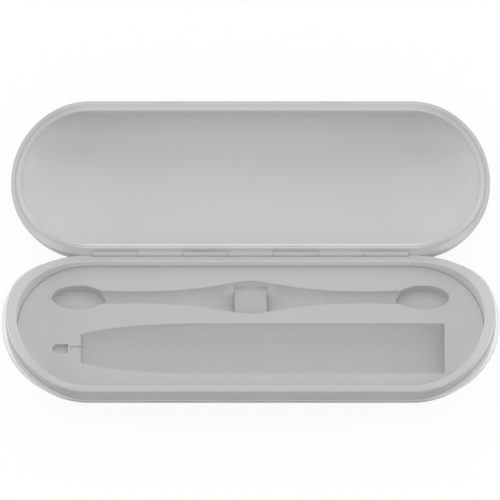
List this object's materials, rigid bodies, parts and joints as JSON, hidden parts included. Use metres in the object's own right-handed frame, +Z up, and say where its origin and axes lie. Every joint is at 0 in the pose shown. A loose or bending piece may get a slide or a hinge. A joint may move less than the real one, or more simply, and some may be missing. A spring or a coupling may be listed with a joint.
{
  "type": "electric toothbrush travel case",
  "caption": "Long rounded clamshell case with a moulded tray for an electric toothbrush handle and spare brush heads; its domed lid opens on a rear hinge.",
  "frame": {"origin": "middle of the flat underside of the base", "axes": "+X along the case, towards the butt of the handle trough; +Y towards the hinge; +Z up"},
  "size_m": [0.2484, 0.1638, 0.0428],
  "materials": {
    "shell_plastic": "fine matte moulded grey",
    "frame_plastic": "satin moulded grey",
    "tray_plastic": "fine-grained matte grey",
    "liner_plastic": "smooth matte grey",
    "pin_steel": "drawn steel wire",
    "magnet_nickel": "nickel plated"
  },
  "bodies": {
    "base": {"base_shell": "shell_plastic", "base_frame": "frame_plastic", "tray_insert": "tray_plastic", "base_magnets": "magnet_nickel", "hinge_pins": "pin_steel"},
    "lid": {"lid_shell": "shell_plastic", "lid_liner": "liner_plastic", "lid_magnets": "magnet_nickel"}
  },
  "joints": [
    {"name": "lid_hinge", "type": "hinge", "parent": "base", "child": "lid", "pos_m": [0, 0.04093, 0.022], "axis": [1, 0, 0], "range_deg": [0, 163]}
  ]
}
